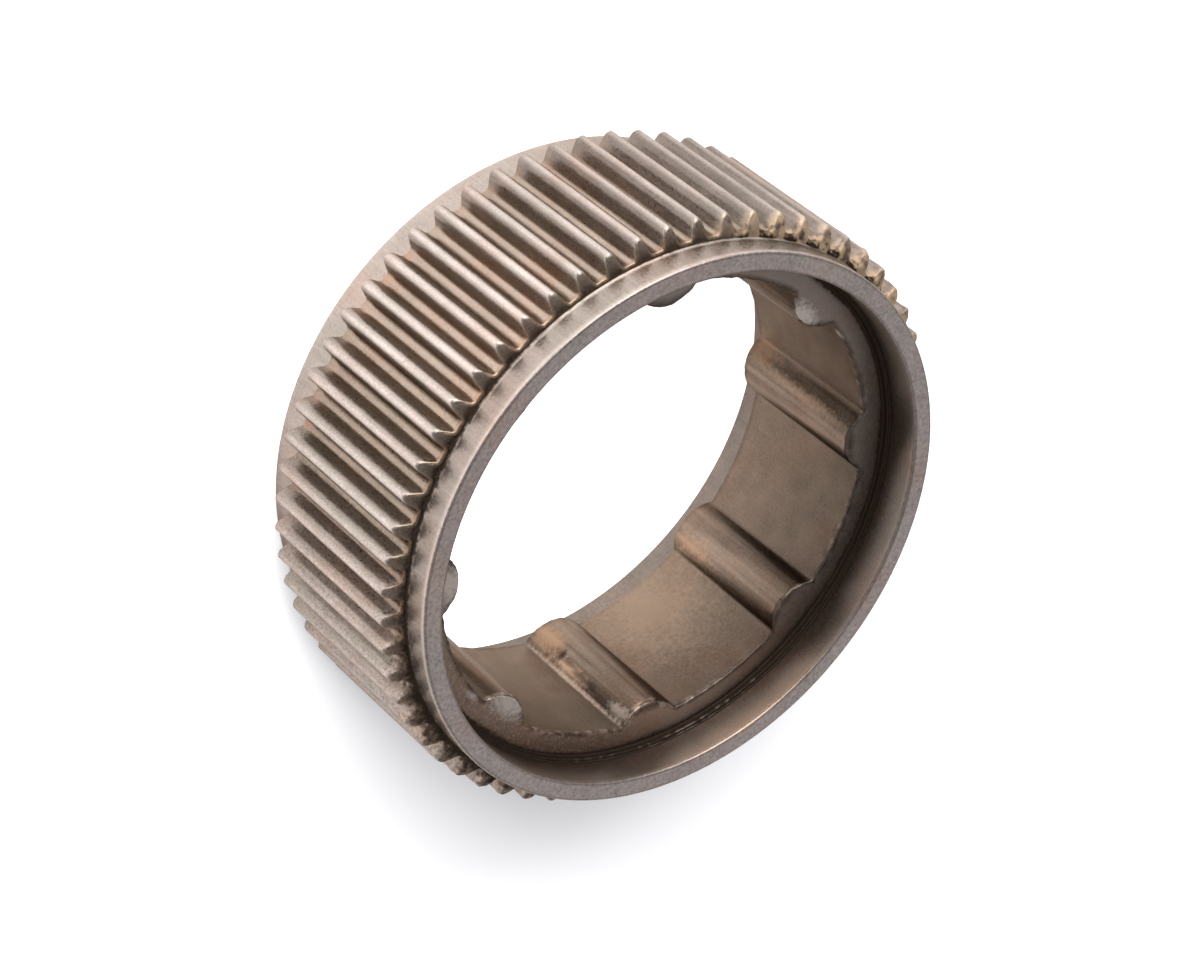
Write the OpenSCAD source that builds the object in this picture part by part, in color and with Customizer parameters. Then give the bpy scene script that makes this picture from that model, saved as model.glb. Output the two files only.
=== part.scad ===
// Toothed ring of a differential, cut from one piece of sintered steel.
// A rim of straight teeth runs between two plain collars, each face has a counterbore,
// and the bore between them carries half-round drive ribs.
// The ring stands on its back face with its axis on +Z and its front face up.
// The first rib lies on +X, and all lengths are in millimetres.

/* [Teeth] */
// Number of teeth around the rim
tooth_count = 60; // [48:1:84]
// Module, the pitch diameter divided by the number of teeth
tooth_module = 1; // [0.9:0.05:1.5]
// Pressure angle of the involute flanks
pressure_angle = 20; // [17:0.5:25]
// Height of a tooth above the pitch circle
addendum = 1; // [0.6:0.05:1.1]
// Depth of a tooth gap below the pitch circle
dedendum = 0.8; // [0.6:0.05:1.2]
// Radius of the rounded corner between a flank and the floor of the gap
root_fillet = 0.25; // [0.1:0.05:0.3]
// Angle from the middle of the first rib to the middle of the nearest tooth
tooth_turn = -1; // [-3:0.25:3]
// Length of the slope that leads up to the tip at the front end of a tooth
tooth_lead = 0.75; // [0.2:0.05:2]
// Bevel on the tip at the back end of a tooth
tooth_back_bevel = 0.4; // [0.1:0.05:0.8]

/* [Ring] */
// Length from the back face to the front face
ring_length = 26; // [20:0.5:40]
// Length of the plain collar in front of the teeth
front_collar = 3; // [1:0.1:6]
// Length of the plain collar behind the teeth
back_collar = 3.7; // [1:0.1:6]
// Height of the floors of the tooth gaps above the collars
collar_step = 0.45; // [0.2:0.05:1.5]
// Bevel on the outer edge of each face
edge_bevel = 0.25; // [0.1:0.05:0.6]

/* [Counterbores] */
// Wall between a collar and the counterbore inside it
lip_wall = 2; // [1.4:0.1:5]
// Depth of the counterbore in the front face
front_depth = 4.5; // [2:0.1:8]
// Depth of the counterbore in the back face
back_depth = 4.7; // [2:0.1:8]
// Bevel around the mouth of each counterbore
mouth_bevel = 0.25; // [0.1:0.05:0.6]
// Width of the small step in the corner of the front counterbore
step_width = 0.35; // [0.1:0.05:1]
// Height of that step above the seat
step_height = 0.65; // [0.2:0.05:1.5]

/* [Bore] */
// Width of the seat between a counterbore and the bore
seat_width = 2.75; // [1:0.05:4]
// Number of drive ribs along the bore
rib_count = 8; // [4:1:12]
// Width of a rib where it meets the bore
rib_width = 6.2; // [3:0.1:8]
// Height of a rib above the bore
rib_height = 2; // [0.8:0.1:3]

/* [Hidden] */
$fn = 96;

// How far a cutting shape runs past the face that it opens
cut_past = 1;
// Straight steps along one flank and along one rounded root corner
flank_steps = 3;
fillet_steps = 2;

pitch_radius = tooth_count * tooth_module / 2;
base_radius = pitch_radius * cos(pressure_angle);
tip_radius = pitch_radius + addendum;
root_radius = pitch_radius - dedendum;
collar_radius = root_radius - collar_step;
counterbore_radius = collar_radius - lip_wall;
bore_radius = counterbore_radius - seat_width;
teeth_front = ring_length - front_collar;

// A rib is the part of a cylinder that passes through its two feet and its crest
rib_crest = bore_radius - rib_height;
rib_foot = sqrt(pow(bore_radius, 2) - pow(rib_width / 2, 2));
rib_rise = rib_foot - rib_crest;
rib_radius = (pow(rib_width / 2, 2) + pow(rib_rise, 2)) / (2 * rib_rise);

// The slope at the front of the teeth goes on into the middle of the collar's wall
slope_end = collar_radius - lip_wall / 2;
slope_top = teeth_front + tooth_lead * (collar_radius - slope_end) / (tip_radius - collar_radius);

function degrees(radians) = radians * 180 / PI;
function polar(radius, angle) = [radius * cos(angle), radius * sin(angle)];
function involute(angle) = degrees(tan(angle)) - angle;

// Angle between the middle of a tooth and its flank at a radius
function flank_angle(radius) =
    90 / tooth_count + involute(pressure_angle) - involute(acos(min(1, base_radius / radius)));

// One side of a tooth as [radius, angle from its middle], from the gap's floor to the tip
flank_start = root_radius + root_fillet;
corner_points = [
    for (i = [0 : fillet_steps])
        let (turn = 90 * i / fillet_steps)
        let (aside = degrees(root_fillet * (1 - sin(turn)) / root_radius))
        [flank_start - root_fillet * cos(turn), flank_angle(flank_start) + aside]
];
flank_points = [
    for (i = [1 : flank_steps])
        let (radius = flank_start + (tip_radius - flank_start) * i / flank_steps)
        [radius, flank_angle(radius)]
];
side_points = concat(corner_points, flank_points);
side_last = len(side_points) - 1;

function tooth_points(middle) = concat(
    [for (i = [0 : side_last]) polar(side_points[i][0], middle - side_points[i][1])],
    [for (i = [side_last : -1 : 0]) polar(side_points[i][0], middle + side_points[i][1])]
);
toothed_outline = [
    for (i = [0 : tooth_count - 1])
        each tooth_points(tooth_turn + 360 * i / tooth_count)
];

// Plain body of the ring before the teeth and the bore
module blank() {
    rotate_extrude()
        polygon([
            [0, 0],
            [collar_radius - edge_bevel, 0],
            [collar_radius, edge_bevel],
            [collar_radius, ring_length - edge_bevel],
            [collar_radius - edge_bevel, ring_length],
            [0, ring_length]
        ]);
}

// Turned shape that the ends of the teeth are cut to
module teeth_envelope() {
    rotate_extrude()
        polygon([
            [0, back_collar],
            [tip_radius - tooth_back_bevel, back_collar],
            [tip_radius, back_collar + tooth_back_bevel],
            [tip_radius, teeth_front - tooth_lead],
            [slope_end, slope_top],
            [0, slope_top]
        ]);
}

module teeth() {
    intersection() {
        linear_extrude(height = ring_length)
            polygon(toothed_outline);
        teeth_envelope();
    }
}

// Opening through the ring, with the ribs left standing in it
module ribbed_bore() {
    difference() {
        translate([0, 0, -cut_past])
            cylinder(h = ring_length + 2 * cut_past, r = bore_radius);
        for (i = [0 : rib_count - 1])
            rotate(360 * i / rib_count)
                translate([rib_crest + rib_radius, 0, -2 * cut_past])
                    cylinder(h = ring_length + 4 * cut_past, r = rib_radius);
    }
}

module front_counterbore() {
    seat = ring_length - front_depth;
    rotate_extrude()
        polygon([
            [0, seat],
            [counterbore_radius - step_width, seat],
            [counterbore_radius - step_width, seat + step_height],
            [counterbore_radius, seat + step_height],
            [counterbore_radius, ring_length - mouth_bevel],
            [counterbore_radius + 2 * mouth_bevel, ring_length + mouth_bevel],
            [0, ring_length + mouth_bevel]
        ]);
}

module back_counterbore() {
    rotate_extrude()
        polygon([
            [0, -mouth_bevel],
            [counterbore_radius + 2 * mouth_bevel, -mouth_bevel],
            [counterbore_radius, mouth_bevel],
            [counterbore_radius, back_depth],
            [0, back_depth]
        ]);
}

module ring_gear() {
    color("#85766a")
        difference() {
            union() {
                blank();
                teeth();
            }
            ribbed_bore();
            front_counterbore();
            back_counterbore();
        }
}

ring_gear();
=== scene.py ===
import math

import bpy
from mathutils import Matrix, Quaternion, Vector


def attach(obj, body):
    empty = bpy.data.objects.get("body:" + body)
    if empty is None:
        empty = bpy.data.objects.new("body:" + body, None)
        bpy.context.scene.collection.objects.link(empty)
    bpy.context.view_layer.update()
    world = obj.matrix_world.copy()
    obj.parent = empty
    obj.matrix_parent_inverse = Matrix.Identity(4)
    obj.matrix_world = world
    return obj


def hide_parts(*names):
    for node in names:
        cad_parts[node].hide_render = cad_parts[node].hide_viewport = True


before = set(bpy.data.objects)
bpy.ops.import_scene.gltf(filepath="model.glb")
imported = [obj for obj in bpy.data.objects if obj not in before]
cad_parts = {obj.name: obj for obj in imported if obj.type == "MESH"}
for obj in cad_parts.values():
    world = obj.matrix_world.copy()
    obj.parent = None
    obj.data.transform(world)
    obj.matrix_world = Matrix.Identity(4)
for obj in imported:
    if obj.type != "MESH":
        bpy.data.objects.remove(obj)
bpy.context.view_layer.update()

# Sizes of the ring in millimetres, in the frame of the solid: back face on the floor, axis on +Z
MM = 0.001
RING_LENGTH = 26.0
COLLAR_R = 28.75
FRONT_COLLAR = 3.0
BACK_COLLAR = 3.7
EDGE_BEVEL = 0.25
COUNTERBORE_R = 26.75
MOUTH_BEVEL = 0.25
FRONT_SEAT = 21.5
BACK_SEAT = 4.7
STEP_WIDTH = 0.35
STEP_HEIGHT = 0.65
BORE_R = 24.0
RIB_COUNT = 8
RIB_WIDTH = 6.2
RIB_HEIGHT = 2.0
TOOTH_COUNT = 60
PITCH_R = 30.0
PRESSURE_ANGLE = math.radians(20)
TIP_R = 31.0
ROOT_R = 29.2
ROOT_FILLET = 0.25
TOOTH_TURN = math.radians(-1)
TOOTH_LEAD = 0.75
TEETH_FRONT = RING_LENGTH - FRONT_COLLAR
TOOTH_HEIGHT = TIP_R - COLLAR_R

# Worn edges and corners that the tumbled metal shows
TIP_ROUND = 0.25
FOOT_ROUND = 0.1
SEAT_ROUND = 0.14
STEP_ROUND = 0.16
RIB_FILLET = 0.3
END_ROUND = 0.7
END_BULGE = 0.05
RIB_LIP_SHARE = 0.14
RAGGED_DEPTH = 0.07
RAGGED_WIDTH = 0.8

# Rounds on the tips at both ends of a tooth: a constant and a share of the tooth's height
BACK_TIP_ROUND = (0.08, 0.06)
FRONT_TIP_ROUND = (0.09, 0.19)

# Mesh density: columns run around the ring, rows around its section
COLUMNS_PER_TOOTH = 10
RIB_FOOT_COLUMNS = 13
TOOTH_ROWS = 13
TOOTH_END_ROWS = 6
TOOTH_END = 18.8
BORE_ROWS = 34
SEAM_GAP = 0.002

# How bright use has rubbed each surface, from stained brown at 0 to bare bright metal at 1; some of these
# values are painted light or painted shade, as noted
LAND_RUB = 0.83
FLANK_RUB = 0.38
# Painted light: one flank of every tooth is painted lighter than the other, for the side that faces the
# light
LIT_FLANK_RUB = 0.58
ROOT_RUB = 0.65
END_RUB = 0.6
# Painted highlight on the rounded top edge of each tooth's front end, and painted shade down its slope to
# the foot
END_EDGE_HIGHLIGHT_RUB = 0.72
END_FOOT_SHADE_RUB = 0.25
COLLAR_RUB = 0.52
BACK_COLLAR_RUB = 0.66
EDGE_RUB = 0.72
FACE_RUB = 0.92
# Painted light and painted shade: the counterbore wall is painted lighter at its mouth and darker down in
# its corners
MOUTH_RUB = 0.52
SHADED_CORNER_RUB = 0.36
# Painted shade: the small step in the counterbore corner is painted nearly black
SHADED_STEP_RUB = 0.05
SEAT_RUB = 0.64
LIP_RUB = 0.2
BORE_RUB = 0.17
# Painted reflection: the bore is painted lighter towards its back end
LIT_BORE_BACK_RUB = 0.31
BACK_MOUTH_RUB = 0.3

# How much dark oily dirt has lodged on a surface, from none at 0 to covered at 1
FRONT_FOOT_GRIME = 0.36
BACK_FOOT_GRIME = 0.2
CORNER_GRIME = 0.2
# The step's dark dirt is painted shade in the counterbore corner
STEP_SHADE_AND_GRIME = 0.8
DIRTY_SIDE = 165
CRUMBLED_SIDE = 2

# Stains and crumbled places inside the ring, with painted shade in a crease, a painted highlight and a patch
# of painted light among them: colour, strength, middle and half sizes in millimetres
MARKS = (
    ("#a58468", 0.6, (-17.2, -14.7, 7.0), (1.6, 1.6, 2.8)),
    ("#b3947a", 0.8, (-18.1, -14.3, 11.6), (0.9, 0.9, 3.6)),
    # Painted shade: three near-black marks fill the crease beside its dents
    ("#1f1713", 0.8, (-17.5, -14.6, 9.6), (0.9, 0.9, 0.4)),
    ("#1f1713", 0.7, (-17.7, -14.55, 11.0), (0.3, 0.3, 1.5)),
    ("#1f1713", 0.7, (-18.0, -14.5, 13.4), (0.3, 0.3, 1.6)),
    ("#c9b8a8", 0.6, (-18.1, -14.5, 20.2), (0.9, 0.9, 2.0)),
    # Painted highlight: a light line along the foot of a rib
    ("#b5a190", 0.6, (-19.0, -14.6, 13.4), (0.3, 0.3, 8.2)),
    ("#94735a", 0.5, (18.4, -14.5, 6.6), (2.0, 2.0, 2.8)),
    ("#a08570", 0.5, (17.0, -15.0, 13.8), (0.7, 0.7, 8.0)),
    ("#a98468", 0.5, (-2.0, -22.2, 7.6), (1.4, 1.0, 4.0)),
    # Painted light: a broad paler patch on the lower bore
    ("#a08872", 0.4, (-9.0, -22.2, 8.0), (8.0, 5.0, 9.0)),
    ("#dacec4", 0.9, (22.6, 0.7, 21.5), (1.4, 2.5, 0.3)),
    ("#cbbeb2", 0.8, (22.1, -0.9, 18.6), (0.4, 0.5, 2.8)),
    ("#c9c0b8", 0.7, (-24.0, 5.0, 21.5), (0.5, 1.0, 0.3)),
    ("#d0c5bc", 0.9, (-22.8, 0.2, 21.5), (1.6, 3.0, 0.3)),
    ("#c9c0b8", 0.7, (23.4, -5.1, 21.3), (0.25, 1.2, 0.5)),
    ("#d2c4b8", 0.9, (-16.2, 16.0, 21.5), (2.2, 2.2, 0.8)),
)

# Dents beside them: depth, middle and half sizes in millimetres
DENTS = (
    (0.2, (-17.5, -14.6, 9.6), (1.1, 1.1, 0.7)),
    (0.22, (-17.7, -14.55, 11.0), (0.55, 0.55, 1.8)),
    (0.2, (-18.0, -14.5, 13.4), (0.55, 0.55, 1.8)),
    (0.14, (-18.3, -14.5, 15.4), (0.6, 0.6, 1.2)),
    (-0.16, (-18.2, -14.1, 12.0), (0.6, 0.6, 2.2)),
    (0.18, (22.4, 2.4, 21.4), (1.0, 0.9, 1.0)),
    (-0.14, (-24.0, 5.2, 21.5), (0.6, 0.9, 0.6)),
)

# Zones that the finish treats apart: bands of radius or height in millimetres that rise from 0 at their
# first value to 1 at their second, and sides of the ring as an azimuth and two angles away from it
BORE_BANDS = (("radius", 24.6, 24.2), ("height", 21.5, 21.2))
SEAT_BANDS = (("radius", 26.4, 26.2), ("height", 21.2, 21.4), ("height", 21.9, 21.7))
ZONES = {
    "inside": (("radius", 27.2, 26.8),),
    "bore": BORE_BANDS,
    # Painted shade: one side of the bore is painted darker
    "shaded bore": ((335, 75, 25), *BORE_BANDS),
    "ribs": (("radius", 23.95, 23.7), ("height", 21.5, 21.2)),
    "seat": SEAT_BANDS,
    # Painted sparkle: light specks and a warm tint on one side of the seat
    "sparkling seat": ((186, 44, 26), *SEAT_BANDS),
    "burred lip": ((205, 48, 34), ("radius", 25.0, 24.6), ("height", 20.5, 21.0)),
    # Painted shade: the counterbore wall on this side is painted darker
    "shaded wall": ((292, 52, 22), ("radius", 26.5, 26.7), ("radius", 27.1, 26.9), ("height", 22.0, 22.2)),
    # Painted glint: broken light flecks along part of the step
    "glinting step": ((230, 36, 14), ("radius", 26.2, 26.3), ("height", 21.8, 21.95), ("height", 22.3, 22.2)),
    # Painted highlight: a warm bright band on the counterbore wall near the mouth
    "highlighted mouth": ((246, 28, 8), ("radius", 26.4, 26.7), ("radius", 27.1, 26.9), ("height", 23.0, 25.0)),
    "face": (("height", 25.75, 25.95),),
    "teeth": (("radius", 28.75, 28.95), ("height", 3.6, 3.8), ("height", 23.1, 23.0)),
    # Painted shade: the teeth on this side are painted darker
    "shaded teeth": ((34, 40, 14), ("radius", 28.75, 28.95), ("height", 23.1, 23.0)),
    "tooth ends": (("radius", 28.75, 28.95), ("height", 22.25, 22.5), ("height", 23.1, 23.0)),
    # Grit on the teeth on this side, with a darker tone and darker gaps that are painted shade
    "gritty shaded teeth": ((DIRTY_SIDE, 75, 25), ("radius", 28.6, 28.9), ("height", 23.1, 23.0)),
    "dirty ends": ((DIRTY_SIDE + 20, 64, 27), ("radius", 28.6, 28.8),
                   ("height", 16.5, 22.6), ("height", 23.2, 23.05)),
    # A darker band along the foot of the front collar on this side
    "dark seam": ((145, 75, 35), ("radius", 28.4, 28.6), ("radius", 28.9, 28.8),
                   ("height", 22.6, 22.9), ("height", 25.9, 23.1)),
    "crumbled ends": ((CRUMBLED_SIDE, 38, 22), ("radius", 28.6, 28.9), ("height", 21.4, 22.4),
                      ("height", 23.15, 23.0)),
    "back ends": (("radius", 28.6, 28.9), ("height", 5.6, 4.0), ("height", 3.4, 3.7)),
}

# Camera of the photograph, about the middle of the ring
VIEW_AIM = Vector((-1.2, 0.0, 13.1)) * MM
VIEW_DISTANCE = 381.65 * MM
VIEW_AZIMUTH = math.radians(87.353)
VIEW_ELEVATION = math.radians(43.104)
VIEW_ROLL = math.radians(129.205)
VIEW_LENS = 120.94


def linear(hex_colour, alpha=1.0):
    """Turns an sRGB hex colour into linear values."""
    parts = [int(hex_colour[i:i + 2], 16) / 255 for i in (1, 3, 5)]
    return (*(c / 12.92 if c <= 0.04045 else ((c + 0.055) / 1.055) ** 2.4 for c in parts), alpha)


def add(tree, kind, inputs=(), **settings):
    """Adds a node with its settings, and sets or links its inputs, in order or by name."""
    made = tree.nodes.new(kind)
    for name, value in settings.items():
        setattr(made, name, value)
    for key, value in inputs.items() if isinstance(inputs, dict) else enumerate(inputs):
        socket = next(s for i, s in enumerate(made.inputs) if s.enabled and key in (i, s.name))
        if isinstance(value, bpy.types.Node):
            value = next(s for s in value.outputs if s.enabled)
        if isinstance(value, bpy.types.NodeSocket):
            tree.links.new(value, socket)
        else:
            socket.default_value = value
    return made


MATH = "ShaderNodeMath"
VECTOR_MATH = "ShaderNodeVectorMath"
MIX = "ShaderNodeMix"
NOISE = "ShaderNodeTexNoise"
MAP_RANGE = "ShaderNodeMapRange"


# Section of the ring

# A size along the section is a constant, a share of the tooth's height above the collar and
# a share of the rib's rise above the bore. The two shares are known only once a column is placed.
ONE = Vector((1, 0, 0))
TOOTH = Vector((0, 1, 0))
RIB = Vector((0, 0, 1))


class Section:
    """Points around the ring's section, each with what the sweep and the finish need there."""

    def __init__(self):
        self.points = []

    def point(self, radius, height, inside, rub, toothed=0.0, ragged=0.0, grime=0.0, taper=0.0):
        self.points.append((radius, height, inside, rub, toothed, ragged, grime, taper))

    def line(self, start, end, steps, inside, rub, **more):
        """Adds the points between two places, without the places themselves."""
        for i in range(1, steps):
            share = i / steps
            here = rub[0] + (rub[1] - rub[0]) * share if isinstance(rub, tuple) else rub
            self.point(start[0].lerp(end[0], share), start[1].lerp(end[1], share), inside, here, **more)

    def arc(self, centre, radius, first, last, steps, inside, rub, **more):
        """Adds a rounded corner about a centre, both ends included."""
        for i in range(steps + 1):
            turn = math.radians(first + (last - first) * i / steps)
            self.point(centre[0] + radius * math.cos(turn), centre[1] + radius * math.sin(turn),
                       inside, rub, **more)


def ring_section():
    """Goes once around the section: back face, outside, front face, inside."""
    s = Section()
    outer_edge = COLLAR_R - EDGE_BEVEL
    mouth_edge = COUNTERBORE_R + MOUTH_BEVEL
    face_shares = (0.04, 0.2, 0.5, 0.8, 0.96)

    # Back face, from the mouth of the counterbore to the outer edge
    for share in face_shares:
        s.point(ONE * (mouth_edge + (outer_edge - mouth_edge) * share), ONE * 0, 1 - share, FACE_RUB)
    s.arc((ONE * outer_edge, ONE * EDGE_BEVEL), ONE * EDGE_BEVEL, -90, 0, 4, 0, EDGE_RUB)

    # Back collar, and the back ends of the teeth with a small round at the foot
    wall_foot = (ONE * (COLLAR_R + FOOT_ROUND), ONE * (BACK_COLLAR - FOOT_ROUND))
    s.line((ONE * COLLAR_R, ONE * EDGE_BEVEL), (ONE * COLLAR_R, wall_foot[1]), 5, 0, BACK_COLLAR_RUB)
    s.arc(wall_foot, ONE * FOOT_ROUND, 180, 90, 2, 0, BACK_COLLAR_RUB, grime=BACK_FOOT_GRIME)
    back_round = ONE * BACK_TIP_ROUND[0] + TOOTH * BACK_TIP_ROUND[1]
    back_corner = (ONE * COLLAR_R + TOOTH - back_round, ONE * BACK_COLLAR + back_round)
    s.line((wall_foot[0], ONE * BACK_COLLAR), (back_corner[0], ONE * BACK_COLLAR), 3, 0, END_RUB)
    s.arc(back_corner, back_round, -90, 0, 4, 0, END_RUB, toothed=0.7)

    # Length of the teeth, and the slope at their front ends
    slope_turn = math.degrees(math.atan2(TOOTH_HEIGHT, TOOTH_LEAD))
    front_round = ONE * FRONT_TIP_ROUND[0] + TOOTH * FRONT_TIP_ROUND[1]
    reach = math.tan(math.radians(slope_turn / 2))
    slope_at = ONE * TEETH_FRONT - TOOTH * (TOOTH_LEAD / TOOTH_HEIGHT)
    front_corner = (ONE * COLLAR_R + TOOTH - front_round, slope_at - front_round * reach)
    crown = ONE * COLLAR_R + TOOTH
    s.line((crown, back_corner[1]), (crown, ONE * TOOTH_END), TOOTH_ROWS, 0, END_RUB, toothed=1)
    s.point(crown, ONE * TOOTH_END, 0, END_RUB, toothed=1)
    round_start = front_corner[1] - ONE * END_ROUND
    s.line((crown, ONE * TOOTH_END), (crown, round_start), TOOTH_END_ROWS, 0, END_RUB, toothed=1)
    for share, taper in ((0, 0), (0.35, 0.012), (0.65, 0.036), (0.87, 0.07)):
        s.point(crown, round_start.lerp(front_corner[1], share), 0, END_RUB, toothed=1, taper=taper)
    # The rounded front edge carries a painted highlight
    for i, toothed in enumerate((1.0, 0.6, 0.3, 0.1, 0.0, 0.0)):
        turn = math.radians(slope_turn * i / 5)
        s.point(front_corner[0] + front_round * math.cos(turn),
                front_corner[1] + front_round * math.sin(turn), 0,
                END_EDGE_HIGHLIGHT_RUB if i < 4 else END_RUB, toothed=toothed, taper=0.1 + 0.02 * i)
    slope_start = (s.points[-1][0], s.points[-1][1])
    slope_end = (ONE * (COLLAR_R + FOOT_ROUND),
                 ONE * (TEETH_FRONT - FOOT_ROUND * TOOTH_LEAD / TOOTH_HEIGHT))
    # The slope darkens towards its foot: painted shade, with the foot's dirt added on top
    for i in range(1, 6):
        share = i / 5
        bulge = TOOTH * (END_BULGE * math.sin(math.pi * share))
        s.point(slope_start[0].lerp(slope_end[0], share) + bulge * math.cos(math.radians(slope_turn)),
                slope_start[1].lerp(slope_end[1], share) + bulge * math.sin(math.radians(slope_turn)), 0,
                END_RUB + (END_FOOT_SHADE_RUB - END_RUB) * share, grime=FRONT_FOOT_GRIME * share ** 2,
                taper=0.2 - 0.04 * share)
    s.point(ONE * (COLLAR_R + FOOT_ROUND / 5), ONE * (TEETH_FRONT + FOOT_ROUND / 5), 0, END_RUB,
            grime=FRONT_FOOT_GRIME)

    # Front collar and front face
    s.line((ONE * COLLAR_R, ONE * TEETH_FRONT), (ONE * COLLAR_R, ONE * (RING_LENGTH - EDGE_BEVEL)), 6, 0,
           COLLAR_RUB)
    s.arc((ONE * outer_edge, ONE * (RING_LENGTH - EDGE_BEVEL)), ONE * EDGE_BEVEL, 0, 90, 4, 0, EDGE_RUB)
    for share in face_shares:
        s.point(ONE * (outer_edge + (mouth_edge - outer_edge) * share), ONE * RING_LENGTH, share, FACE_RUB)
    s.arc((ONE * mouth_edge, ONE * (RING_LENGTH - MOUTH_BEVEL)), ONE * MOUTH_BEVEL, 90, 180, 4, 1, EDGE_RUB)

    # Front counterbore with the small step in its corner
    step_r = COUNTERBORE_R - STEP_WIDTH
    step_z = FRONT_SEAT + STEP_HEIGHT
    mouth_z = RING_LENGTH - MOUTH_BEVEL
    # The wall runs from painted light at the mouth to painted shade in the corner
    for share in (0.1, 0.2, 0.35, 0.5, 0.7, 0.9):
        rub = SHADED_CORNER_RUB + (MOUTH_RUB - SHADED_CORNER_RUB) * (1 - share) ** 2
        s.point(ONE * COUNTERBORE_R, ONE * (mouth_z + (step_z - mouth_z) * share), 1, rub)
    # The step is painted dark: painted shade in the corner
    s.arc((ONE * (COUNTERBORE_R - STEP_ROUND), ONE * (step_z + STEP_ROUND)), ONE * STEP_ROUND, 0, -90, 3, 1,
          SHADED_STEP_RUB, grime=STEP_SHADE_AND_GRIME)
    s.arc((ONE * (step_r + STEP_ROUND), ONE * (step_z - STEP_ROUND)), ONE * STEP_ROUND, 90, 180, 4, 1,
          SHADED_STEP_RUB, ragged=0.4, grime=STEP_SHADE_AND_GRIME)
    s.arc((ONE * (step_r - STEP_ROUND), ONE * (FRONT_SEAT + STEP_ROUND)), ONE * STEP_ROUND, 0, -90, 3, 1,
          SHADED_STEP_RUB, grime=STEP_SHADE_AND_GRIME)

    # Seat, bore with its ribs, and the seat behind them
    lip = ONE * SEAT_ROUND + RIB * RIB_LIP_SHARE
    front_lip = (ONE * BORE_R - RIB + lip, ONE * FRONT_SEAT - lip)
    s.line((ONE * (step_r - STEP_ROUND), ONE * FRONT_SEAT), (front_lip[0], ONE * FRONT_SEAT), 5, 1,
           SEAT_RUB)
    s.arc(front_lip, lip, 90, 180, 4, 1, LIP_RUB, ragged=1)
    back_lip = (ONE * BORE_R - RIB + lip, ONE * BACK_SEAT + lip)
    # The bore grows lighter towards the back: painted reflection
    s.line((ONE * BORE_R - RIB, front_lip[1]), (ONE * BORE_R - RIB, back_lip[1]), BORE_ROWS, 1,
           (BORE_RUB, LIT_BORE_BACK_RUB))
    s.arc(back_lip, lip, 180, 270, 4, 1, LIP_RUB, ragged=0.5)
    seat_corner = (ONE * (COUNTERBORE_R - FOOT_ROUND), ONE * (BACK_SEAT - FOOT_ROUND))
    s.line((back_lip[0], ONE * BACK_SEAT), (seat_corner[0], ONE * BACK_SEAT), 4, 1, SEAT_RUB)
    # The back corner gets the same darker corner rub: painted shade, with some dirt
    s.arc(seat_corner, ONE * FOOT_ROUND, 90, 0, 2, 1, SHADED_CORNER_RUB, grime=CORNER_GRIME)

    # Back counterbore up to the back face
    s.line((ONE * COUNTERBORE_R, seat_corner[1]), (ONE * COUNTERBORE_R, ONE * MOUTH_BEVEL), 6, 1,
           BACK_MOUTH_RUB)
    s.arc((ONE * mouth_edge, ONE * MOUTH_BEVEL), ONE * MOUTH_BEVEL, 180, 270, 4, 1, BACK_MOUTH_RUB)
    return s.points


def section_object(points):
    """A chain of points that holds the section, with each point's sizes as attributes in metres."""
    mesh = bpy.data.meshes.new("ring_section")
    mesh.from_pydata([(r[0] * MM, 0, z[0] * MM) for r, z, *_ in points],
                     [(i, i + 1) for i in range(len(points) - 1)], [])
    columns = {"radius_form": [r * MM for r, *_ in points], "height_form": [p[1] * MM for p in points]}
    for name, values in columns.items():
        layer = mesh.attributes.new(name, "FLOAT_VECTOR", "POINT")
        layer.data.foreach_set("vector", [part for value in values for part in value])
    for i, name in enumerate(("inside", "rub", "toothed", "ragged", "grime", "taper")):
        layer = mesh.attributes.new(name, "FLOAT", "POINT")
        layer.data.foreach_set("value", [p[2 + i] for p in points])
    made = bpy.data.objects.new("ring_gear_finish", mesh)
    bpy.context.scene.collection.objects.link(made)
    return made


# Tooth and rib

def involute(angle):
    """Angle that an involute has turned through where its slant is the given angle."""
    return math.tan(angle) - angle


def flank_angle(radius):
    """Angle between the middle of a tooth and its flank at a radius."""
    slant = math.acos(PITCH_R * math.cos(PRESSURE_ANGLE) / radius)
    return math.pi / (2 * TOOTH_COUNT) + involute(PRESSURE_ANGLE) - involute(slant)


def tooth_stations():
    """Angle from the tooth's middle, height above the collar and rub for each column across one tooth."""
    fillet_top = ROOT_R + ROOT_FILLET
    middle = (fillet_top + TIP_R) / 2
    side = [
        (flank_angle(fillet_top) + ROOT_FILLET / ROOT_R, ROOT_R, ROOT_RUB),
        (flank_angle(fillet_top), fillet_top, FLANK_RUB),
        (flank_angle(middle), middle, FLANK_RUB),
        (flank_angle(TIP_R - TIP_ROUND), TIP_R - TIP_ROUND, FLANK_RUB),
        (flank_angle(TIP_R) - TIP_ROUND / TIP_R, TIP_R, LAND_RUB),
    ]
    right = [(angle, radius - COLLAR_R, rub) for angle, radius, rub in reversed(side)]
    # The flanks on the lower-angle side of each tooth get the lighter rub: painted light
    left = [(-angle, height, LIT_FLANK_RUB if rub == FLANK_RUB else rub)
            for angle, height, rub in reversed(right)]
    return left + right


def rib_circle():
    """Radius of a rib's round and how far its centre lies from the ring's axis."""
    foot = math.sqrt(BORE_R ** 2 - (RIB_WIDTH / 2) ** 2)
    rise = foot - (BORE_R - RIB_HEIGHT)
    radius = ((RIB_WIDTH / 2) ** 2 + rise ** 2) / (2 * rise)
    return radius, BORE_R - RIB_HEIGHT + radius


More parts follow.
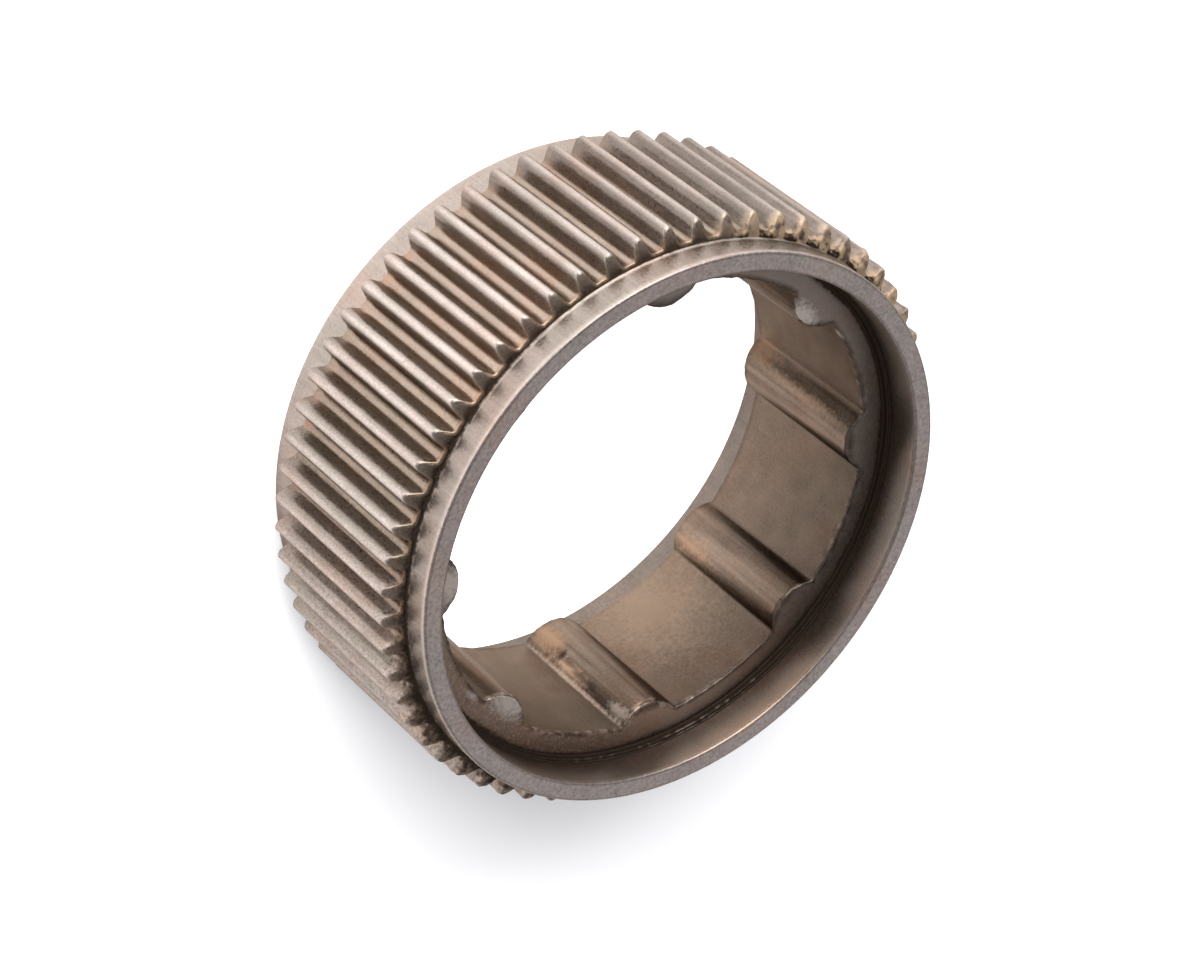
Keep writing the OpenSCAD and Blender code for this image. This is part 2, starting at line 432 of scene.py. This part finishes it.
def toothed_ring_tree():
    """Sweeps the section around the axis, with a tooth outside and a rib inside at every repeat."""
    tree = bpy.data.node_groups.new("toothed_ring", "GeometryNodeTree")
    tree.interface.new_socket("Section", in_out="INPUT", socket_type="NodeSocketGeometry")
    tree.interface.new_socket("Geometry", in_out="OUTPUT", socket_type="NodeSocketGeometry")
    sizes = {
        "Tooth count": ("NodeSocketInt", TOOTH_COUNT),
        "Columns per tooth": ("NodeSocketInt", COLUMNS_PER_TOOTH),
        "Tooth turn": ("NodeSocketFloat", TOOTH_TURN),
        "Rib count": ("NodeSocketInt", RIB_COUNT),
        "Rib radius": ("NodeSocketFloat", rib_circle()[0] * MM),
        "Rib centre": ("NodeSocketFloat", rib_circle()[1] * MM),
        "Rib height": ("NodeSocketFloat", RIB_HEIGHT * MM),
        "Rib foot angle": ("NodeSocketFloat", math.asin(RIB_WIDTH / 2 / BORE_R)),
        "Rib foot columns": ("NodeSocketInt", RIB_FOOT_COLUMNS),
        "Rib fillet": ("NodeSocketFloat", RIB_FILLET * MM),
        "Bore radius": ("NodeSocketFloat", BORE_R * MM),
        "Ragged depth": ("NodeSocketFloat", RAGGED_DEPTH * MM),
        "Ragged width": ("NodeSocketFloat", RAGGED_WIDTH * MM),
        "Finish": ("NodeSocketMaterial", None),
    }
    for name, (kind, _) in sizes.items():
        tree.interface.new_socket(name, in_out="INPUT", socket_type=kind)
    given = add(tree, "NodeGroupInput").outputs

    # Column and row of each point of the flat sheet that becomes the surface
    counted = add(tree, "GeometryNodeAttributeDomainSize", {"Geometry": given["Section"]})
    rows = counted.outputs["Point Count"]
    sheet_rows = add(tree, MATH, (rows, 1), operation="ADD")
    columns = add(tree, MATH, (given["Tooth count"], given["Columns per tooth"]), operation="MULTIPLY")
    sheet_columns = add(tree, MATH, (columns, 1), operation="ADD")
    sheet = add(tree, "GeometryNodeMeshGrid", {"Vertices X": sheet_columns, "Vertices Y": sheet_rows})
    index = add(tree, MATH, (add(tree, "GeometryNodeInputIndex"), 0.5), operation="ADD")
    before = add(tree, MATH, (index, sheet_rows), operation="DIVIDE")
    column = add(tree, MATH, (before,), operation="FLOOR")
    along = add(tree, MATH, (index, sheet_rows), operation="MODULO")
    sheet_row = add(tree, MATH, (along,), operation="FLOOR")
    row = add(tree, MATH, (sheet_row, rows), operation="MODULO")

    # What the section says about a point's row
    said = {}
    for name in ("radius_form", "height_form", "inside", "rub", "toothed", "ragged", "grime", "taper"):
        data_type = "FLOAT_VECTOR" if name.endswith("form") else "FLOAT"
        attribute = add(tree, "GeometryNodeInputNamedAttribute", {"Name": name}, data_type=data_type)
        said[name] = add(tree, "GeometryNodeSampleIndex", {
            "Geometry": given["Section"], "Value": attribute, "Index": row}, data_type=data_type)

    # Outside: angle, height and rub of a column across its tooth
    mid_column = add(tree, MATH, (column, 0.5), operation="ADD")
    tooth_share = add(tree, MATH, (mid_column, given["Columns per tooth"]), operation="DIVIDE")
    tooth = add(tree, MATH, (tooth_share,), operation="FLOOR")
    station = add(tree, MATH, (column, given["Columns per tooth"]), operation="MODULO")
    across = {}
    for name, values in zip(("angle", "height", "rub"), zip(*tooth_stations())):
        across[name] = add(tree, "GeometryNodeIndexSwitch", data_type="FLOAT")
        while len(across[name].index_switch_items) < len(values):
            across[name].index_switch_items.new()
        tree.links.new(station.outputs[0], across[name].inputs["Index"])
        for socket, value in zip(across[name].inputs[1:], values):
            socket.default_value = value
    tooth_pitch = add(tree, MATH, (2 * math.pi, given["Tooth count"]), operation="DIVIDE")
    tooth_middle = add(tree, MATH, (tooth, tooth_pitch, given["Tooth turn"]), operation="MULTIPLY_ADD")
    slimmer = add(tree, MATH, (1, said["taper"]), operation="SUBTRACT")
    outer_angle = add(tree, MATH, (across["angle"], slimmer, tooth_middle), operation="MULTIPLY_ADD")

    # Inside: step of a column from the middle of its rib, with a column on each foot
    rib_columns = add(tree, MATH, (columns, given["Rib count"]), operation="DIVIDE")
    half_columns = add(tree, MATH, (rib_columns, 2), operation="DIVIDE")
    half_steps = add(tree, MATH, (half_columns,), operation="FLOOR")
    half_tooth = add(tree, MATH, (given["Columns per tooth"], 2), operation="DIVIDE")
    start = add(tree, MATH, (half_steps, half_tooth), operation="SUBTRACT")
    shifted = add(tree, MATH, (column, start), operation="ADD")
    mid_shifted = add(tree, MATH, (shifted, 0.5), operation="ADD")
    rib_share = add(tree, MATH, (mid_shifted, rib_columns), operation="DIVIDE")
    rib = add(tree, MATH, (rib_share,), operation="FLOOR")
    step = add(tree, MATH, (add(tree, MATH, (shifted, rib_columns), operation="MODULO"), half_steps),
               operation="SUBTRACT")

    # The columns are spread evenly over the rib and evenly over the bore between two ribs
    rib_pitch = add(tree, MATH, (2 * math.pi, given["Rib count"]), operation="DIVIDE")
    half_pitch = add(tree, MATH, (rib_pitch, 2), operation="DIVIDE")
    on_rib = add(tree, MATH, (given["Rib foot angle"], given["Rib foot columns"]), operation="DIVIDE")
    bare_angle = add(tree, MATH, (half_pitch, given["Rib foot angle"]), operation="SUBTRACT")
    bare_columns = add(tree, MATH, (half_columns, given["Rib foot columns"]), operation="SUBTRACT")
    off_rib = add(tree, MATH, (bare_angle, bare_columns), operation="DIVIDE")
    reach = add(tree, MATH, (add(tree, MATH, (step,), operation="ABSOLUTE"), given["Rib foot columns"]),
                operation="SUBTRACT")
    past_foot = add(tree, MATH, (reach, 0), operation="MAXIMUM")
    side = add(tree, MATH, (step,), operation="SIGN")
    stretch = add(tree, MATH, (off_rib, on_rib), operation="SUBTRACT")
    extra = add(tree, MATH, (add(tree, MATH, (side, past_foot), operation="MULTIPLY"), stretch),
                operation="MULTIPLY")
    turn = add(tree, MATH, (step, on_rib, extra), operation="MULTIPLY_ADD")
    inner_angle = add(tree, MATH, (rib, rib_pitch, turn), operation="MULTIPLY_ADD")

    # Rise of the rib's round above the bore, with a fillet at its foot
    widest = add(tree, MATH, (given["Rib foot angle"], 1.15), operation="MULTIPLY")
    narrowest = add(tree, MATH, (widest, -1), operation="MULTIPLY")
    near_turn = add(tree, "ShaderNodeClamp", (turn, narrowest, widest))
    sideways = add(tree, MATH, (given["Rib centre"], add(tree, MATH, (near_turn,), operation="SINE")),
                   operation="MULTIPLY")
    forwards = add(tree, MATH, (given["Rib centre"], add(tree, MATH, (near_turn,), operation="COSINE")),
                   operation="MULTIPLY")
    radius_square = add(tree, MATH, (given["Rib radius"], 2), operation="POWER")
    sideways_square = add(tree, MATH, (sideways, 2), operation="POWER")
    left_square = add(tree, MATH, (radius_square, sideways_square), operation="SUBTRACT")
    chord = add(tree, MATH, (add(tree, MATH, (left_square, 0), operation="MAXIMUM"), 0.5),
                operation="POWER")
    rib_surface = add(tree, MATH, (forwards, chord), operation="SUBTRACT")
    raw_rise = add(tree, MATH, (given["Bore radius"], rib_surface), operation="SUBTRACT")
    rise = add(tree, MATH, (raw_rise, 0, given["Rib fillet"]), operation="SMOOTH_MAX")

    # Place of a point from its section sizes and its angle
    shares = add(tree, "ShaderNodeCombineXYZ",
                 (1, across["height"], add(tree, MATH, (rise, MM), operation="DIVIDE")))
    radius = add(tree, VECTOR_MATH, (said["radius_form"], shares), operation="DOT_PRODUCT")
    height = add(tree, VECTOR_MATH, (said["height_form"], shares), operation="DOT_PRODUCT")
    angle = add(tree, MIX, {"Factor": said["inside"], "A": outer_angle, "B": inner_angle})
    x = add(tree, MATH, (radius, add(tree, MATH, (angle,), operation="COSINE")), operation="MULTIPLY")
    y = add(tree, MATH, (radius, add(tree, MATH, (angle,), operation="SINE")), operation="MULTIPLY")
    place = add(tree, "ShaderNodeCombineXYZ", (x, y, height))
    shaped = add(tree, "GeometryNodeSetPosition", {"Geometry": sheet.outputs["Mesh"], "Position": place})

    # Tooth ends that are crumbled on one side of the ring and caked with dirt on the other
    here = add(tree, "GeometryNodeInputPosition")
    flat = add(tree, VECTOR_MATH, (here, (1, 1, 0)), operation="MULTIPLY")
    outwards = add(tree, VECTOR_MATH, (flat,), operation="NORMALIZE")
    upwards = add(tree, "ShaderNodeSeparateXYZ", (here,)).outputs["Z"]
    rough_ends = 0.0
    for azimuth, start, end in ((DIRTY_SIDE, 52, 20), (CRUMBLED_SIDE, 34, 18)):
        middle = Vector((math.cos(math.radians(azimuth)), math.sin(math.radians(azimuth)), 0))
        near = add(tree, VECTOR_MATH, (outwards, middle), operation="DOT_PRODUCT")
        share = add(tree, MAP_RANGE, {"Value": near, "From Min": math.cos(math.radians(start)),
                                      "From Max": math.cos(math.radians(end)), "To Max": 1.5})
        rough_ends = add(tree, MATH, (rough_ends, share), operation="ADD")
    for value, start, end in ((upwards, 19.5, 22.5), (upwards, 23.1, 23.0),
                              (add(tree, VECTOR_MATH, (flat,), operation="LENGTH"), 28.6, 28.8)):
        band = add(tree, MAP_RANGE, {"Value": value, "From Min": start * MM, "From Max": end * MM})
        rough_ends = add(tree, MATH, (rough_ends, band), operation="MULTIPLY")

    # What the finish needs to know about each point
    facts = {
        "rub": add(tree, MIX, {"Factor": said["toothed"], "A": said["rub"], "B": across["rub"]}),
        "grime": said["grime"],
        "ragged": add(tree, MATH, (said["ragged"], rough_ends), operation="ADD"),
        "rib_rise": add(tree, MATH, (rise, given["Rib height"]), operation="DIVIDE"),
        "gap": add(tree, MAP_RANGE, {"Value": across["height"], "From Min": 1.6, "From Max": 0.5}),
    }
    for name, value in facts.items():
        shaped = add(tree, "GeometryNodeStoreNamedAttribute",
                     {"Geometry": shaped, "Name": name, "Value": value}, data_type="FLOAT", domain="POINT")
    closed = add(tree, "GeometryNodeMergeByDistance", {"Geometry": shaped, "Distance": SEAM_GAP * MM})

    # Burred lips around the bore, and rough tooth ends
    per_bump = add(tree, MATH, (1, given["Ragged width"]), operation="DIVIDE")
    bumps = add(tree, NOISE, {"Scale": per_bump, "Detail": 2.0})
    swing = add(tree, MAP_RANGE, {"Value": bumps, "From Min": 0.3, "From Max": 0.7,
                                  "To Min": -1.0, "To Max": 1.0})
    ragged = add(tree, "GeometryNodeInputNamedAttribute", {"Name": "ragged"}, data_type="FLOAT")
    depth = add(tree, MATH, (add(tree, MATH, (ragged, given["Ragged depth"]), operation="MULTIPLY"), swing),
                operation="MULTIPLY")
    facing = add(tree, "GeometryNodeInputNormal")
    push = add(tree, VECTOR_MATH, {0: facing, "Scale": depth}, operation="SCALE")
    worn = add(tree, "GeometryNodeSetPosition", {"Geometry": closed, "Offset": push})

    # Single dents and raised burrs
    sunk = 0.0
    for deep, middle, half in DENTS:
        away = add(tree, VECTOR_MATH, (add(tree, "GeometryNodeInputPosition"), Vector(middle) * MM),
                   operation="SUBTRACT")
        near = add(tree, VECTOR_MATH, (away, Vector(half) * MM), operation="DIVIDE")
        far = add(tree, VECTOR_MATH, (near,), operation="LENGTH")
        share = add(tree, MAP_RANGE, {"Value": far, "From Min": 1.0, "From Max": 0.2, "To Max": -deep * MM},
                    interpolation_type="SMOOTHSTEP")
        sunk = add(tree, MATH, (sunk, share), operation="ADD")
    dent = add(tree, VECTOR_MATH, {0: facing, "Scale": sunk}, operation="SCALE")
    dented = add(tree, "GeometryNodeSetPosition", {"Geometry": worn, "Offset": dent})

    smooth = add(tree, "GeometryNodeSetShadeSmooth", {"Geometry": dented})
    real = add(tree, "GeometryNodeRealizeInstances", {"Geometry": smooth})
    dressed = add(tree, "GeometryNodeSetMaterial", {"Geometry": real, "Material": given["Finish"]})
    add(tree, "NodeGroupOutput", {"Geometry": dressed})
    return tree, {name: value for name, (_, value) in sizes.items()}


def grown(host, tree, values):
    """Runs a tree on its host and keeps the result as a plain mesh."""
    modifier = host.modifiers.new("shape", "NODES")
    modifier.node_group = tree
    for item in tree.interface.items_tree:
        if item.in_out == "INPUT" and item.name in values:
            modifier[item.identifier] = values[item.name]
    evaluated = host.evaluated_get(bpy.context.evaluated_depsgraph_get())
    mesh = bpy.data.meshes.new_from_object(evaluated, preserve_all_data_layers=True,
                                           depsgraph=bpy.context.evaluated_depsgraph_get())
    host.modifiers.remove(modifier)
    host.data = mesh
    return host


# Materials

def colour_ramp(node, stops):
    """Sets the stops of a ramp from positions and hex colours."""
    ramp = node.color_ramp
    while len(ramp.elements) < len(stops):
        ramp.elements.new(0.5)
    for element, (position, colour) in zip(ramp.elements, stops):
        element.position = position
        element.color = linear(colour)


def sintered_steel():
    """Pressed and sintered steel, tumbled, oiled and used: satin brown metal, paler where it is rubbed, with
    painted light and painted shade in places.
    """
    made = bpy.data.materials.new("sintered_steel_oil_stained")
    made.use_nodes = True
    tree = made.node_tree
    tree.nodes.clear()
    place = add(tree, "ShaderNodeTexCoord").outputs["Object"]
    fact = {}
    for name in ("rub", "grime", "ragged", "rib_rise", "gap"):
        fact[name] = add(tree, "ShaderNodeAttribute", attribute_name=name).outputs["Fac"]

    # Where on the ring a point lies
    flat = add(tree, VECTOR_MATH, (place, (1, 1, 0)), operation="MULTIPLY")
    outwards = add(tree, VECTOR_MATH, (flat,), operation="NORMALIZE")
    measures = {"radius": add(tree, VECTOR_MATH, (flat,), operation="LENGTH"),
                "height": add(tree, "ShaderNodeSeparateXYZ", (place,)).outputs["Z"]}
    zone = {}
    for name, bands in ZONES.items():
        zone[name] = 1.0
        for measure, start, end in bands:
            if measure in measures:
                value = measures[measure]
                ends = (start * MM, end * MM)
            else:
                middle = Vector((math.cos(math.radians(measure)), math.sin(math.radians(measure)), 0))
                value = add(tree, VECTOR_MATH, (outwards, middle), operation="DOT_PRODUCT")
                ends = (math.cos(math.radians(start)), math.cos(math.radians(end)))
            share = add(tree, MAP_RANGE, {"Value": value, "From Min": ends[0], "From Max": ends[1]})
            zone[name] = add(tree, MATH, (zone[name], share), operation="MULTIPLY")

    # Grain of the powder, crumbs and flakes of it, cloudy oxide, and streaks that the press left along
    # the axis. Grains and streaks are near 0.1 mm wide, too fine to show here, so both are drawn two or
    # three times as coarse.
    drawn = add(tree, VECTOR_MATH, (place, (1, 1, 0.05)), operation="MULTIPLY")
    noise = {}
    for name, where, size, detail in (
            ("grain", place, 0.24, 3.0), ("crumb", place, 0.42, 4.0), ("speck", place, 0.6, 4.0),
            ("flake", place, 1.1, 2.0), ("cloud", place, 2.5, 4.0), ("bloom", place, 6.0, 3.0),
            ("streak", drawn, 0.35, 2.0), ("stripe", drawn, 0.9, 2.0)):
        noise[name] = add(tree, NOISE, {"Vector": where, "Scale": 1 / (size * MM), "Detail": detail})

    # How bright a place is: bare metal shows where it is rubbed, oxide where it is not; the rib rise and
    # several zones add painted light and painted shade on top
    flecks = add(tree, MAP_RANGE, {"Value": noise["flake"], "From Min": 0.48, "From Max": 0.64})
    shown = add(tree, MATH, (zone["burred lip"], 0.4, 0.1), operation="MULTIPLY_ADD")
    burred = add(tree, MATH, (fact["ragged"], flecks), operation="MULTIPLY")
    # Painted light and painted shade on the ribs: crests lighter, flanks darker
    ribs = add(tree, MAP_RANGE, {"Value": fact["rib_rise"], "From Min": 0.55, "From Max": 0.95,
                                 "To Min": -0.14, "To Max": 0.1})
    stripes = add(tree, MAP_RANGE, {"Value": noise["stripe"], "From Min": 0.3, "From Max": 0.7,
                                    "To Min": -0.13, "To Max": 0.13})
    lines = add(tree, MAP_RANGE, {"Value": noise["streak"], "From Min": 0.0, "From Max": 1.0,
                                  "To Min": -0.11, "To Max": 0.11})
    kept = add(tree, MATH, (zone["inside"], -0.7, 1.0), operation="MULTIPLY_ADD")
    # Grit darkens these teeth on average: partly grit, partly painted shade
    grit = add(tree, MAP_RANGE, {"Value": noise["grain"], "From Min": 0.3, "From Max": 0.7,
                                 "To Min": -0.2, "To Max": -0.04})
    # Painted sparkle: light specks from the grain on one side of the seat
    painted_sparkle = add(tree, MAP_RANGE, {"Value": noise["grain"], "From Min": 0.5, "From Max": 0.66,
                                   "To Max": 0.16})
    in_gap = {}
    for name in ("teeth", "gritty shaded teeth", "dirty ends", "crumbled ends", "back ends"):
        in_gap[name] = add(tree, MATH, (zone[name], fact["gap"]), operation="MULTIPLY")
    level = add(tree, MATH, (fact["rub"], 0.275), operation="SUBTRACT")
    for value, share in ((noise["grain"], 0.35), (noise["cloud"], 0.2), (burred, shown), (lines, kept),
                         (ribs, zone["ribs"]), (stripes, zone["ribs"]), (grit, zone["gritty shaded teeth"]),
                         (in_gap["gritty shaded teeth"], -0.22), (zone["shaded wall"], -0.13),
                         (zone["highlighted mouth"], 0.16), (zone["shaded bore"], -0.06),
                         (zone["dark seam"], -0.12), (zone["shaded teeth"], -0.1),
                         (painted_sparkle, zone["sparkling seat"])):
        level = add(tree, MATH, (value, share, level), operation="MULTIPLY_ADD")
    colour = add(tree, "ShaderNodeValToRGB", {"Fac": level})
    colour_ramp(colour, ((0.0, "#453f3a"), (0.25, "#6d645e"), (0.5, "#8e847c"),
                         (0.75, "#aa9f98"), (1.0, "#d0c6bf")))

    # Hues over it: cloudy tints, warm oil in the bore, on the seat and between the teeth, crumbs on the
    # face, and warm tints on the painted sparkle of the seat and the painted highlight at the mouth
    tint = add(tree, "ShaderNodeValToRGB", {"Fac": noise["bloom"]})
    colour_ramp(tint, ((0.34, "#f6f7f2"), (0.5, "#fdfaf8"), (0.66, "#fff4ed")))
    crumbs = add(tree, "ShaderNodeValToRGB", {"Fac": noise["crumb"]})
    colour_ramp(crumbs, ((0.3, "#d8d9df"), (0.5, "#f1f0f4"), (0.68, "#ffffff")))
    for share, hue in ((1.0, tint), (zone["bore"], linear("#fff3e7")), (in_gap["teeth"], linear("#fdf5eb")),
                       (zone["tooth ends"], linear("#f3e8dd")), (zone["seat"], linear("#f4f2f2")),
                       (zone["face"], crumbs), (zone["sparkling seat"], linear("#f8e8da")),
                       (zone["highlighted mouth"], linear("#fff0e2"))):
        colour = add(tree, MIX, {"Factor": share, "A": colour, "B": hue}, data_type="RGBA",
                     blend_type="MULTIPLY")

    # Pale crumbled tooth ends on one side of the ring, and rust in the gaps behind the back ends
    broken = add(tree, MAP_RANGE, {"Value": noise["flake"], "From Min": 0.38, "From Max": 0.52,
                                   "To Max": 0.75})
    pale = add(tree, MATH, (zone["crumbled ends"], broken), operation="MULTIPLY")
    patches = add(tree, MAP_RANGE, {"Value": noise["flake"], "From Min": 0.5, "From Max": 0.62,
                                    "To Max": 0.32})
    rusted = add(tree, MATH, (in_gap["back ends"], patches), operation="MULTIPLY")
    for share, hue in ((pale, "#c9b094"), (rusted, "#b37c5f")):
        colour = add(tree, MIX, {"Factor": share, "A": colour, "B": linear(hue)}, data_type="RGBA")

    # Single marks: stains, a crease with painted shade in it, a painted highlight along a rib's foot, a
    # broad patch of painted light on the lower bore, and crumbled rib ends, each broken up by the crumbs
    for hue, strength, middle, half in MARKS:
        near = add(tree, "ShaderNodeMapping", {"Vector": place, "Location": Vector(middle) * MM,
                                               "Scale": Vector(half) * MM}, vector_type="TEXTURE")
        far = add(tree, VECTOR_MATH, (near,), operation="LENGTH")
        uneven = add(tree, MATH, (noise["crumb"], 1.6, far), operation="MULTIPLY_ADD")
        share = add(tree, MAP_RANGE, {"Value": uneven, "From Min": 1.9, "From Max": 1.1,
                                      "To Max": strength})
        colour = add(tree, MIX, {"Factor": share, "A": colour, "B": linear(hue)}, data_type="RGBA")

    # Oily dirt in the corners, thickest over the tooth ends on the side that lay in it, with painted shade
    # in the counterbore step and in the gaps between the crumbled tooth ends, a darker band at the collar's
    # foot, and a painted glint on part of the step
    dirt_and_shade = add(tree, MATH, (fact["grime"], noise["speck"]), operation="ADD")
    # Painted glint: flecks that lift the dark off part of the step
    painted_glint = add(tree, MATH, (zone["glinting step"], flecks), operation="MULTIPLY")
    # Dirt on the dirty ends and in their gaps, painted shade in the gaps between the crumbled ends, the
    # darker collar-foot band, and the painted glint
    for value, share in ((zone["dirty ends"], 0.44), (in_gap["dirty ends"], 0.28),
                         (in_gap["crumbled ends"], 0.6), (zone["dark seam"], 0.42), (painted_glint, -0.6)):
        dirt_and_shade = add(tree, MATH, (value, share, dirt_and_shade), operation="MULTIPLY_ADD")
    dirt = add(tree, MAP_RANGE, {"Value": dirt_and_shade, "From Min": 0.84, "From Max": 1.16})
    colour = add(tree, MIX, {"Factor": dirt, "A": colour, "B": linear("#40352d")}, data_type="RGBA")

    # Bore and dirt scatter light more widely than the rubbed outside
    satin = add(tree, MAP_RANGE, {"Value": noise["grain"], "From Min": 0.3, "From Max": 0.7,
                                  "To Min": 0.26, "To Max": 0.4})
    dulled = add(tree, MATH, (zone["inside"], 0.08, satin), operation="MULTIPLY_ADD")
    chalky = add(tree, MATH, (zone["crumbled ends"], 0.34, dulled), operation="MULTIPLY_ADD")
    rough = add(tree, MATH, (dirt, 0.25, chalky), operation="MULTIPLY_ADD")
    pitted = add(tree, MATH, (noise["speck"], dirt, noise["grain"]), operation="MULTIPLY_ADD")
    bump = add(tree, "ShaderNodeBump", {"Height": pitted, "Strength": 0.5, "Distance": 0.03 * MM})
    shader = add(tree, "ShaderNodeBsdfPrincipled", {
        "Base Color": colour, "Metallic": 1.0, "Roughness": rough, "Normal": bump,
        "Specular Tint": linear("#c2bdb9")})
    add(tree, "ShaderNodeOutputMaterial", {"Surface": shader})
    return made


def floor_paper():
    """Matt white studio paper that glows with painted light inside the ring and far off, where the boxes
    don't reach.
    """
    made = bpy.data.materials.new("matt_white_paper")
    made.use_nodes = True
    tree = made.node_tree
    tree.nodes.clear()
    place = add(tree, "ShaderNodeTexCoord").outputs["Object"]
    away = add(tree, VECTOR_MATH, (place,), operation="LENGTH")
    glow = add(tree, MAP_RANGE, {"Value": away, "From Min": 27 * MM, "From Max": 28.5 * MM,
                                 "To Min": 1.0, "To Max": 0.14})
    behind = add(tree, MAP_RANGE, {"Value": away, "From Min": 250 * MM, "From Max": 500 * MM})
    glow = add(tree, MATH, (glow, behind), operation="ADD")
    shader = add(tree, "ShaderNodeBsdfPrincipled", {
        "Base Color": linear("#e8e8ea"), "Roughness": 0.9, "Specular IOR Level": 0.1,
        "Emission Color": linear("#ffffff"), "Emission Strength": glow})
    add(tree, "ShaderNodeOutputMaterial", {"Surface": shader})
    return made


# Ring

finish = sintered_steel()
tree, values = toothed_ring_tree()
ring = grown(section_object(ring_section()), tree, {**values, "Finish": finish})
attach(ring, "root")
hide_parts("ring_gear")


# Floor, light and camera

def floor():
    """A square of paper, three metres to each side of the ring."""
    size = 3.0
    corners = [(-size, -size, 0), (size, -size, 0), (size, size, 0), (-size, size, 0)]
    mesh = bpy.data.meshes.new("floor")
    mesh.from_pydata(corners, [], [(0, 1, 2, 3)])
    made = bpy.data.objects.new("floor", mesh)
    made.data.materials.append(floor_paper())
    bpy.context.scene.collection.objects.link(made)


def aimed(name, light, azimuth, elevation, distance):
    """Hangs a light that looks at the middle of the floor from a direction."""
    made = bpy.data.objects.new(name, light)
    out = Vector((math.cos(math.radians(elevation)) * math.cos(math.radians(azimuth)),
                  math.cos(math.radians(elevation)) * math.sin(math.radians(azimuth)),
                  math.sin(math.radians(elevation))))
    made.location = out * distance
    made.rotation_mode = "QUATERNION"
    made.rotation_quaternion = out.to_track_quat("Z", "Y")
    made.visible_camera = False
    bpy.context.scene.collection.objects.link(made)
    return made


def lights():
    """A wide soft box that lights the floor, and one for the sheen of the metal."""
    key = bpy.data.lights.new("floor_box", "AREA")
    key.size = 0.26
    key.energy = 4.6
    aimed("floor_box", key, 71, 34, 0.42).visible_glossy = False
    sheen = bpy.data.lights.new("sheen_box", "AREA")
    sheen.size = 0.45
    sheen.energy = 2.2
    aimed("sheen_box", sheen, 40, 25, 0.5)


def studio():
    """World light that is white at the horizon and dimmer overhead."""
    world = bpy.data.worlds.new("studio")
    bpy.context.scene.world = world
    world.use_nodes = True
    tree = world.node_tree
    tree.nodes.clear()
    direction = add(tree, "ShaderNodeTexCoord").outputs["Generated"]
    up = add(tree, "ShaderNodeSeparateXYZ", (direction,)).outputs["Z"]
    shade = add(tree, "ShaderNodeValToRGB", {"Fac": up})
    colour_ramp(shade, ((0.0, "#ffffff"), (0.7, "#d8d8dc"), (1.0, "#c6c6ca")))
    light = add(tree, "ShaderNodeBackground", {"Color": shade, "Strength": 0.75})
    add(tree, "ShaderNodeOutputWorld", {"Surface": light})


def camera():
    """The photograph's camera, turned about its own line of sight as the picture is."""
    lens = bpy.data.cameras.new("photo_camera")
    lens.lens = VIEW_LENS
    lens.sensor_width = 36.0
    made = bpy.data.objects.new("photo_camera", lens)
    out = Vector((math.cos(VIEW_ELEVATION) * math.cos(VIEW_AZIMUTH),
                  math.cos(VIEW_ELEVATION) * math.sin(VIEW_AZIMUTH), math.sin(VIEW_ELEVATION)))
    made.location = VIEW_AIM + out * VIEW_DISTANCE
    made.rotation_mode = "QUATERNION"
    made.rotation_quaternion = out.to_track_quat("Z", "Y") @ Quaternion((0, 0, 1), VIEW_ROLL)
    bpy.context.scene.collection.objects.link(made)
    bpy.context.scene.camera = made


floor()
lights()
studio()
bpy.context.scene.view_settings.view_transform = "Standard"
camera()
